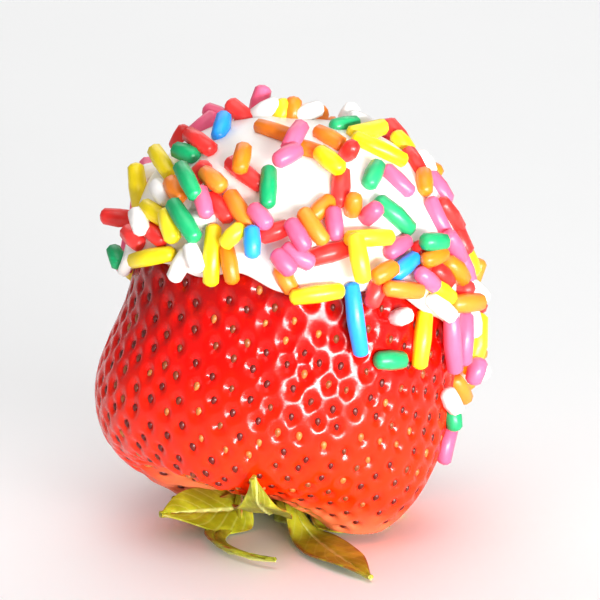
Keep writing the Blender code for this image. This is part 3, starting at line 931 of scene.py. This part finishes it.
# The sprinkles on the camera's side, by colour: where the middle of each shows in the picture, in
# millimetres from the left and upper sides, its turn in degrees, and the length that shows
SEEN_SPRINKLES = {
    "red": (
        (23.8, 11.3, -42, 4.2), (17.5, 13.3, 60, 2.8), (19.6, 13.9, -35, 3.8), (11.0, 21.1, -5, 3.8),
        (13.1, 23.3, -45, 3.0), (15.2, 23.0, -40, 3.0), (26.9, 22.7, 20, 3.4), (21.6, 20.3, -50, 3.6),
        (19.6, 17.0, 50, 2.8), (24.0, 17.0, -38, 4.6), (39.0, 13.4, -55, 4.2), (40.6, 15.9, -60, 3.4),
        (34.2, 14.8, 50, 2.4), (33.4, 18.3, 85, 4.0), (44.1, 21.1, -55, 4.0), (45.1, 23.4, -65, 3.6),
        (32.3, 24.8, 17, 4.4), (41.3, 25.2, -75, 3.4), (43.3, 27.0, -45, 3.0), (36.9, 28.4, 68, 3.8),
        (45.5, 28.6, 60, 2.4), (48.0, 29.6, -50, 2.4),
    ),
    "orange": (
        (26.8, 12.8, -18, 4.0), (28.7, 10.9, 85, 3.0), (17.2, 18.6, -60, 3.0), (22.5, 25.9, -80, 4.0),
        (23.5, 20.6, -58, 4.6), (20.9, 17.6, -40, 3.2), (23.7, 15.5, 80, 3.2), (30.8, 10.9, 0, 3.0),
        (30.0, 14.6, -15, 3.7), (32.3, 13.5, -30, 3.6), (41.6, 17.8, -88, 3.0), (34.6, 20.1, 80, 2.6),
        (31.5, 20.4, 45, 3.2), (30.7, 22.2, -55, 4.2), (42.6, 25.2, 20, 3.0), (44.7, 26.5, -45, 3.4),
        (37.7, 26.7, 30, 3.0), (39.6, 28.4, -5, 4.2), (45.8, 29.7, 5, 3.8), (28.0, 27.4, -60, 3.2),
        (45.1, 38.1, -60, 3.4),
    ),
    "yellow": (
        (27.6, 11.0, 75, 2.9), (15.9, 15.9, -58, 4.0), (13.5, 18.3, -84, 4.8), (15.2, 20.9, -35, 3.6),
        (16.6, 22.1, -75, 3.6), (14.8, 25.2, 10, 4.9), (20.8, 25.0, 87, 6.1), (22.8, 23.1, 45, 3.0),
        (36.0, 12.8, 15, 4.2), (40.0, 13.2, -50, 2.9), (37.2, 14.6, -25, 6.0), (32.3, 15.7, -40, 3.6),
        (36.2, 23.3, 2, 5.0), (35.2, 25.3, -80, 5.0), (46.3, 25.7, -70, 2.9), (43.2, 28.5, -35, 3.6),
        (41.4, 33.2, 84, 6.0), (31.1, 28.8, 8, 5.4), (47.1, 33.8, 80, 6.4),
    ),
    "pink": (
        (25.4, 9.4, 75, 3.6), (20.9, 9.9, -25, 3.2), (19.9, 12.3, 40, 3.5), (19.9, 19.8, -75, 3.4),
        (25.5, 21.2, -50, 3.0), (28.9, 13.4, 60, 3.6), (28.2, 15.2, 30, 3.2), (39.0, 17.7, -45, 4.0),
        (43.0, 18.4, -55, 3.8), (32.8, 21.9, -85, 3.4), (36.4, 20.9, 45, 2.6), (43.0, 21.4, -65, 4.6),
        (29.2, 25.1, -30, 3.6), (29.2, 23.0, -60, 3.6), (27.8, 25.7, -50, 3.0), (41.9, 27.4, -40, 3.0),
        (44.6, 24.2, -60, 3.6), (39.0, 24.2, 35, 3.2), (45.6, 26.4, -70, 3.4), (44.4, 33.7, -85, 6.0),
        (45.6, 33.2, 88, 5.4), (47.9, 36.4, 70, 2.9), (43.8, 43.6, 77, 4.0),
    ),
    "green": (
        (18.2, 15.0, -20, 3.0), (18.4, 17.7, -62, 4.2), (18.0, 21.6, -57, 4.9), (10.9, 25.0, -70, 2.6),
        (26.3, 18.3, 88, 4.3), (33.8, 12.2, 10, 3.2), (36.6, 17.1, 65, 3.2), (38.7, 21.1, -42, 5.0),
        (42.6, 23.7, 0, 3.0), (38.3, 35.3, 0, 3.4), (44.4, 40.9, -80, 2.9),
    ),
    "white": (
        (26.0, 10.8, 30, 3.4), (14.5, 16.9, 20, 2.9), (15.8, 18.9, -55, 3.0), (13.6, 21.7, -70, 2.9),
        (17.7, 26.0, 62, 3.6), (19.0, 25.2, -70, 3.2), (19.8, 21.5, 0, 2.9), (30.4, 10.2, 20, 3.0),
        (34.3, 10.6, 60, 2.6), (35.7, 11.3, -30, 3.0), (41.8, 15.9, -60, 3.0), (43.3, 30.2, -38, 3.6),
        (46.9, 28.5, -45, 3.0), (39.3, 31.0, 10, 2.5), (46.3, 31.7, -85, 3.0), (44.3, 39.3, -60, 2.9),
    ),
    "blue": (
        (21.7, 12.4, 75, 3.2), (24.7, 23.7, -88, 3.3), (39.7, 26.1, 40, 3.6), (34.9, 31.3, -82, 7.4),
    ),
}

# Limits for the sprinkles that show: how steeply one may run into the picture, how far a surface may
# slant away, how far one stands off the surface and the others, and the steps in which it is moved
STEEPEST_RUN = 0.9
TURNED_AWAY = 0.12
LEAST_FACING = 0.4
LEAST_RISE = 0.15 * MM
STACKED_CLEARANCE = 0.88
STACKING_STEP = 0.2 * MM
STACKING_STEPS = 13
PASSING_STEPS = 4
BEHIND = 0.05
BOX_SLACK = 0.8 * MM


def camera_axes(look):
    """The camera's place, and the directions to the picture's right, its top and into it."""
    into = Vector((0, math.cos(look.elevation), -math.sin(look.elevation)))
    right = Vector((1, 0, 0))
    target = Vector((look.aim_x, 0, look.aim_height))
    return target - into * look.distance, right, right.cross(into), into


def smooth_normal(point):
    """The outward normal of the flesh below a point, without its dimples."""
    direction = (point - Vector((0, 0, WIDEST_HEIGHT))).normalized()
    return flesh_frame(math.acos(direction.z), math.atan2(direction.y, direction.x))[1]


def sight_line(across, down, stage):
    """The camera's place, and the direction from it to a place of the picture."""
    eye, right, top, into = camera_axes(stage)
    half = stage.across / 2
    return eye, (into * stage.distance + right * (across - half) + top * (half - down)).normalized()


def surface_in_view(eye, ray, coat, flesh):
    """(point, whether it is chocolate) where a sight line meets the berry first, or None if it passes by."""
    met = []
    for skin in (coat, flesh):
        hit, point, _, _ = skin.ray_cast(eye, ray)
        if hit:
            met.append(((point - eye).length, skin is coat, point))
    if not met:
        return None
    _, on_coat, point = min(met, key=lambda found: found[0])
    return point, on_coat


def surface_beside(eye, ray, distance, coat, flesh):
    """(point, whether it is chocolate, how far off) where a sight line passes the berry closest."""
    for _ in range(PASSING_STEPS):
        passing = eye + ray * distance
        found = [(skin.closest_point_on_mesh(passing)[1], skin is coat) for skin in (coat, flesh)]
        point, on_coat = min(found, key=lambda near: (near[0] - passing).length)
        distance = (point - eye).dot(ray)
    return point, on_coat, passing - point


def in_the_open(axis, coat, flesh):
    """True where every point of a sprinkle's axis stands a little over the chocolate and the flesh."""
    for place in axis:
        for skin in (coat, flesh):
            _, point, normal, _ = skin.closest_point_on_mesh(place)
            if (Vector(place) - point).dot(normal) < LEAST_RISE:
                return False
    return True


def seen_sprinkle(row, coat, flesh, look, stage, placed):
    """(centre, along, out, length) of a sprinkle that shows at a place of the picture."""
    across, down, turn, shown = row[0] * MM, row[1] * MM, math.radians(row[2]), row[3] * MM
    _, right, top, into = camera_axes(stage)
    eye, ray = sight_line(across, down, stage)
    flat = right * math.cos(turn) + top * math.sin(turn)
    core = max(0.0, shown - 2 * SPRINKLE_RADIUS)
    met = surface_in_view(eye, ray, coat, flesh)
    if met:
        point, on_coat = met
        normal = smooth_normal(point)
        facing = min(-TURNED_AWAY, normal.dot(into))
        run = max(-STEEPEST_RUN, min(STEEPEST_RUN, -flat.dot(normal) / facing))
        lifting = -ray / max(LEAST_FACING, -normal.dot(ray))
        room = math.inf
    else:
        point, on_coat, off = surface_beside(eye, ray, stage.distance, coat, flesh)
        normal = lifting = off.normalized()
        run, room = 0.0, off.length
    along = (flat + into * run).normalized()
    length = core * math.hypot(1, run) + 2 * SPRINKLE_RADIUS
    if length < SHORTEST_SPRINKLE:
        lean = math.acos(core / (SHORTEST_SPRINKLE - 2 * SPRINKLE_RADIUS))
        length = SHORTEST_SPRINKLE
        along = (flat * math.cos(lean) - into * math.sin(lean)).normalized()
    length = min(length, LONGEST_SPRINKLE)
    out = (normal - along * normal.dot(along)).normalized()
    proud = abs(along.dot(normal)) * (length / 2 - SPRINKLE_RADIUS)
    centre = point + lifting * min(room, (look.lift if on_coat else look.stray_lift) + proud)
    axis = sprinkle_axis(centre, along, length)
    for _ in range(STACKING_STEPS):
        if clear_of(axis, placed, STACKED_CLEARANCE) and in_the_open(axis, coat, flesh):
            break
        centre -= ray * STACKING_STEP
        axis = sprinkle_axis(centre, along, length)
    placed.append(axis)
    return centre, along, out, length


def out_of_view(centre, stage):
    """True where the berry turns its side with this place away from the camera."""
    return smooth_normal(centre).dot(camera_axes(stage)[3]) > BEHIND


def within_solids(axis):
    """True where a sprinkle reaches no further out than the solids do, but for a small slack."""
    low, high = (np.array(corner) for corner in SOLID_BOX)
    room = BOX_SLACK - SPRINKLE_RADIUS
    return bool((axis.min(axis=0) > low - room).all() and (axis.max(axis=0) < high + room).all())


def shaped_sprinkle(model, length, bend, plumpness, place):
    """A copy of the unit ball, drawn out to a rod and bent towards its upper side."""
    rod = copy_to(model, Matrix.Identity(4))
    points = points_of(rod) * SPRINKLE_RADIUS
    points[:, :2] *= plumpness
    points[:, 2] += np.sign(np.round(points[:, 2], 7)) * (length / 2 - SPRINKLE_RADIUS)
    points[:, 1] += bend * length * (0.5 - (2 * points[:, 2] / length) ** 2)
    move_points(rod, points)
    rod.data.transform(place)
    return rod


def sprinkle_finish(name, colour, look):
    finish = Finish(f"{name}_sugar")
    tint = finish.attribute("tint")
    lighter = tuple(c + (1 - c) * LIGHTER_SHARE for c in colour)
    deeper = tuple(c * DEEPER_SHARE for c in colour)
    base = finish.mix(finish.fit(tint, 0, 1), lighter, deeper)
    base = finish.mix(finish.fit(finish.grain(0.8 * MM, 3), 0.35, 0.75, 0, 0.35), base, lighter)
    finish.set(Base_Color=base)
    finish.roughen(finish.grain(0.7 * MM, 2), look.roughness, 0.2, -0.05, 0.12)
    finish.set(Subsurface_Weight=0.12, Subsurface_Scale=0.6 * MM, Subsurface_Radius=(1.0, 1.0, 1.0))
    finish.set(Specular_IOR_Level=0.45, Coat_Weight=0.1, Coat_Roughness=0.2)
    finish.relief(finish.grain(0.5 * MM, 3), 0.05 * MM, 0.5)
    return finish.material


class STRAWBERRY_OT_sprinkles(bpy.types.Operator):
    """Builds the rod sprinkles, one piece for each colour"""

    bl_idname = "strawberry.sprinkles"
    bl_label = "Rainbow sprinkles"

    def execute(self, context):
        look, stage = context.scene.sprinkle_look, context.scene.stage_look
        coat, flesh = bpy.data.objects["white_chocolate_cap"], bpy.data.objects["dimpled_flesh"]
        placed = []
        laid_out = [
            (colour, seen_sprinkle(row, coat, flesh, look, stage, placed))
            for colour, rows in SEEN_SPRINKLES.items()
            for row in rows
        ]
        finer = random.Random(SPRINKLE_DRAW + 1)
        as_solids = []
        draw = random.Random(SPRINKLE_DRAW)
        behind = coat_sprinkles(as_solids, draw, SPRINKLES, FLAT_SPRINKLES)
        behind += stray_sprinkles([coat_rim(), *as_solids])
        behind += coat_sprinkles(as_solids, draw, look.more, 0)
        for laid in behind:
            axis = sprinkle_axis(laid[0], laid[1], laid[3])
            hidden = out_of_view(laid[0], stage) and within_solids(axis)
            if hidden and clear_of(axis, placed, STACKED_CLEARANCE):
                colour = finer.choices(list(SPRINKLE_SHARES), SPRINKLE_SHARES.values())[0]
                laid_out.append((colour, laid))
        model = add_ball("sprinkle_model", look.segments, look.rings)
        rods = {name: [] for name in SPRINKLE_SHARES}
        for colour, (centre, along, out, length) in laid_out:
            bend = finer.uniform(-1, 1) * look.bend if finer.random() < BENT_SPRINKLES else 0
            plumpness = finer.uniform(*SPRINKLE_PLUMPNESS)
            rod = shaped_sprinkle(model, length, bend, plumpness, lying(along, out, centre))
            write_attribute(rod, "tint", np.full(len(rod.data.vertices), finer.random()))
            rods[colour].append(rod)
        remove(model)
        for name, pieces in rods.items():
            joined = join_as(f"{name}_sprinkles", pieces)
            shade(joined)
            hand_over(joined, sprinkle_finish(name, getattr(look, name), look), "sprinkles")
        return {"FINISHED"}


# Calyx


def leaf_points(along, across, leaf):
    """Points of a leaf's middle sheet. It hugs the shoulder, then turns away or falls on the table."""
    azimuth, reach, half_width, floor_lift, flare, sweep, flutter, fallen, tilt = leaf
    azimuth, reach = math.radians(azimuth), math.radians(reach)
    polar = math.pi - LEAF_START - along * reach
    outline = np.sin(math.pi * along**LEAF_WIDEST)
    width = half_width * np.maximum(outline, np.where(along < LEAF_FREE_FROM, LEAF_FOOT, LEAF_TIP))
    middle = flesh_points(polar, azimuth)
    away = np.maximum(HUB_RADIUS / 2, np.hypot(middle[:, 0], middle[:, 1]))
    turn = across * width / away + sweep * along**2
    points, normals, _ = flesh_frames(polar, azimuth + turn)
    free = ramp(along, LEAF_FREE_FROM, 1.0)
    ripple = np.sin(LEAF_RIPPLES * math.pi * along + LEAF_TWIST * across)
    lift = GAP + LEAF_THICKNESS / 2 + LEAF_CLEARANCE
    lift = lift + free * (flare + LEAF_CUP * np.abs(across) * width + flutter * ripple)
    points += normals * np.maximum(lift, GAP + LEAF_THICKNESS / 2)[:, None]
    if fallen:
        out = np.maximum(along * fallen, HUB_RADIUS / 2)
        bearing = azimuth + across * width / out + sweep * along**2
        height = LEAF_THICKNESS / 2 + floor_lift + flare * along**2
        height += (free * LEAF_CUP * np.abs(across) - tilt * across) * width
        laid = np.stack((out * np.cos(bearing), out * np.sin(bearing), height), axis=1)
        share = ramp(along, *LEAF_FALLS)[:, None]
        points = points * (1 - share) + laid * share
    from_hub = ramp(np.hypot(points[:, 0], points[:, 1]), HUB_GRIP * HUB_RADIUS, HUB_EASE * HUB_RADIUS)
    height = HUB_HEIGHT + (points[:, 2] - HUB_HEIGHT) * from_hub
    points[:, 2] = np.maximum(height, LEAF_THICKNESS / 2)
    return points


def calyx_finish(look):
    finish = Finish("calyx_green")
    uv = finish.add("ShaderNodeUVMap", uv_map="leaf").outputs["UV"]
    split = finish.add("ShaderNodeSeparateXYZ", {"Vector": uv})
    across = finish.maths("ABSOLUTE", finish.maths("SUBTRACT", split.outputs["Y"], 0.5))
    rib = finish.fit(across, 0.02, 0.06, 0.9, 0)
    slant = finish.maths("ADD", split.outputs["X"], finish.maths("MULTIPLY", across, -2 * VEIN_SLANT))
    wave = finish.maths("SINE", finish.maths("MULTIPLY", slant, VEIN_WAVES))
    vein = finish.fit(wave, 0.72, 1.0, 0, 0.2)
    blotch = finish.fit(finish.grain(2.2 * MM, 4), 0.35, 0.7)
    colour = finish.mix(blotch, look.green, look.bright)
    colour = finish.mix(vein, colour, look.rib)
    colour = finish.mix(rib, colour, look.rib)
    patches = finish.fit(finish.grain(3 * MM, 3), 0.45, 0.6)
    edge = finish.maths("MULTIPLY", finish.fit(across, 0.4, 0.5), patches)
    colour = finish.mix(edge, colour, look.dry)
    finish.set(Base_Color=colour, Roughness=0.42, Subsurface_Weight=0.12, Subsurface_Scale=0.8 * MM)
    finish.relief(finish.grain(0.35 * MM, 3), 0.05 * MM, 0.5)
    return finish.material


def make_leaf(i, leaf_size, look):
    """A closed leaf with a raised midrib, side veins and thin edges."""
    deselect()
    bpy.ops.mesh.primitive_grid_add(x_subdivisions=look.rows, y_subdivisions=look.columns, size=2)
    leaf = bpy.context.object
    leaf.name = leaf.data.name = f"leaf_{i}"
    leaf.data.uv_layers[0].name = "leaf"
    flat = points_of(leaf)
    move_points(leaf, leaf_points((flat[:, 0] + 1) / 2, flat[:, 1], leaf_size))
    along, across = (flat[:, 0] + 1) / 2, np.abs(flat[:, 1])
    rib = look.midrib_height * np.exp(-((across / RIB_WIDTH) ** 2)) * (1 - RIB_TAPER * along)
    waves = np.sin((along - VEIN_SLANT * across) * VEIN_WAVES)
    veins = look.vein_height * np.clip(waves, 0, 1) * (1 - across)
    move_points(leaf, points_of(leaf) - normals_of(leaf) * (rib + veins)[:, None])
    thin = leaf.vertex_groups.new(name="thickness")
    for row, share in enumerate(across):
        thin.add([row], float(1 - share**3), "REPLACE")
    add_modifier(
        leaf, "thickness", "SOLIDIFY", thickness=LEAF_THICKNESS * LEAF_SHEET_SHARE, offset=0,
        vertex_group="thickness", thickness_vertex_group=look.edge_share,
    )
    leaf.vertex_groups.clear()
    return leaf


class STRAWBERRY_OT_calyx(bpy.types.Operator):
    """Builds the green leaves under the berry, their hub and the stub of the stem"""

    bl_idname = "strawberry.calyx"
    bl_label = "Calyx"

    def execute(self, context):
        look = context.scene.calyx_look
        leaves = [make_leaf(i, leaf_size, look) for i, leaf_size in enumerate(LEAVES)]
        hub = add_ball("hub", *HUB_SIDES)
        points = points_of(hub) * (HUB_RADIUS, HUB_RADIUS, HUB_HALF_THICKNESS)
        points[:, 2] += HUB_HEIGHT
        move_points(hub, points)
        deselect()
        bpy.ops.mesh.primitive_cylinder_add(
            vertices=STEM_SIDES, radius=STEM_RADIUS, depth=HUB_HEIGHT, location=(0, 0, HUB_HEIGHT / 2)
        )
        stem = bpy.context.object
        settle(stem)
        for part in (hub, stem):
            part.data.uv_layers[0].name = "leaf"
        calyx = join_as("calyx_leaves", [*leaves, hub, stem])
        points = points_of(calyx)
        points[:, 2] = np.maximum(points[:, 2], 0)
        move_points(calyx, points)
        shade(calyx, smooth=False)
        hand_over(calyx, calyx_finish(look), "calyx", "calyx")
        return {"FINISHED"}


# Stage


def aim(obj, place, target):
    """Puts an object at a place, with its -Z towards the target."""
    obj.location = place
    obj.rotation_euler = (target - place).to_track_quat("-Z", "Y").to_euler()


def add_softbox(name, azimuth, elevation, distance, width, height, power, target):
    """A soft rectangular light, seen from the berry at two angles."""
    deselect()
    bpy.ops.object.light_add(type="AREA")
    light = bpy.context.object
    light.name = light.data.name = name
    light.data.shape = "RECTANGLE"
    light.data.size = width
    light.data.size_y = height
    light.data.energy = power
    across, up = math.radians(azimuth), math.radians(elevation)
    direction = Vector((math.sin(across) * math.cos(up), -math.cos(across) * math.cos(up), math.sin(up)))
    aim(light, target + direction * distance, target)


class STRAWBERRY_OT_stage(bpy.types.Operator):
    """Builds the pale floor, the soft lights and the camera"""

    bl_idname = "strawberry.stage"
    bl_label = "Stage"

    def execute(self, context):
        look = context.scene.stage_look
        target = Vector((look.aim_x, 0, look.aim_height))
        deselect()
        bpy.ops.mesh.primitive_circle_add(
            vertices=FLOOR_SIDES, radius=FLOOR_RADIUS, fill_type="TRIFAN", location=(0, 0, 0)
        )
        floor = bpy.context.object
        floor.name = floor.data.name = "floor"
        finish = Finish("pale_table")
        shaded = tuple(c * 0.97 for c in look.floor)
        finish.set(Base_Color=finish.mix(finish.grain(60 * MM, 3), look.floor, shaded), Roughness=0.6)
        floor.data.materials.append(finish.material)

        for name, power, azimuth, elevation, distance, width, height, behind in LIGHTS:
            aimed_at = target + Vector((0, behind, 0))
            add_softbox(name, azimuth, elevation, distance, width, height, getattr(look, power), aimed_at)

        sky = bpy.data.worlds.new("sky")
        sky.use_nodes = True
        background = sky.node_tree.nodes["Background"]
        background.inputs["Color"].default_value = (1, 1, 1, 1)
        background.inputs["Strength"].default_value = look.world
        context.scene.world = sky
        context.scene.view_settings.view_transform = "Standard"

        bpy.ops.object.camera_add()
        camera = bpy.context.object
        camera.name = "camera"
        direction = Vector((0, -math.cos(look.elevation), math.sin(look.elevation)))
        aim(camera, target + direction * look.distance, target)
        camera.data.sensor_width = SENSOR_WIDTH
        camera.data.lens = camera.data.sensor_width * look.distance / look.across
        camera.data.clip_start = 10 * MM
        context.scene.camera = camera
        return {"FINISHED"}


class STRAWBERRY_PT_pieces(bpy.types.Panel):
    """Lists the pieces, in the order in which they are built"""

    bl_label = "Chocolate Coated Strawberry"
    bl_idname = "STRAWBERRY_PT_pieces"
    bl_space_type = "VIEW_3D"
    bl_region_type = "UI"
    bl_category = "Strawberry"

    def draw(self, context):
        for operator in OPERATORS:
            self.layout.operator(operator.bl_idname)
        for name, group in SETTINGS.items():
            box = self.layout.box()
            box.label(text=name.replace("_", " ").capitalize())
            for setting in group.__annotations__:
                box.prop(getattr(context.scene, name), setting)


OPERATORS = (
    STRAWBERRY_OT_flesh,
    STRAWBERRY_OT_seeds,
    STRAWBERRY_OT_chocolate,
    STRAWBERRY_OT_sprinkles,
    STRAWBERRY_OT_calyx,
    STRAWBERRY_OT_stage,
)


def register():
    for group in (*SETTINGS.values(), *OPERATORS, STRAWBERRY_PT_pieces):
        bpy.utils.register_class(group)
    for name, group in SETTINGS.items():
        setattr(bpy.types.Scene, name, bpy.props.PointerProperty(type=group))


def unregister():
    for name in SETTINGS:
        delattr(bpy.types.Scene, name)
    for group in (STRAWBERRY_PT_pieces, *OPERATORS, *SETTINGS.values()):
        bpy.utils.unregister_class(group)


def main():
    register()
    bpy.ops.strawberry.flesh()
    bpy.ops.strawberry.seeds()
    bpy.ops.strawberry.chocolate()
    bpy.ops.strawberry.sprinkles()
    bpy.ops.strawberry.calyx()
    bpy.ops.strawberry.stage()


if __name__ == "__main__":
    main()
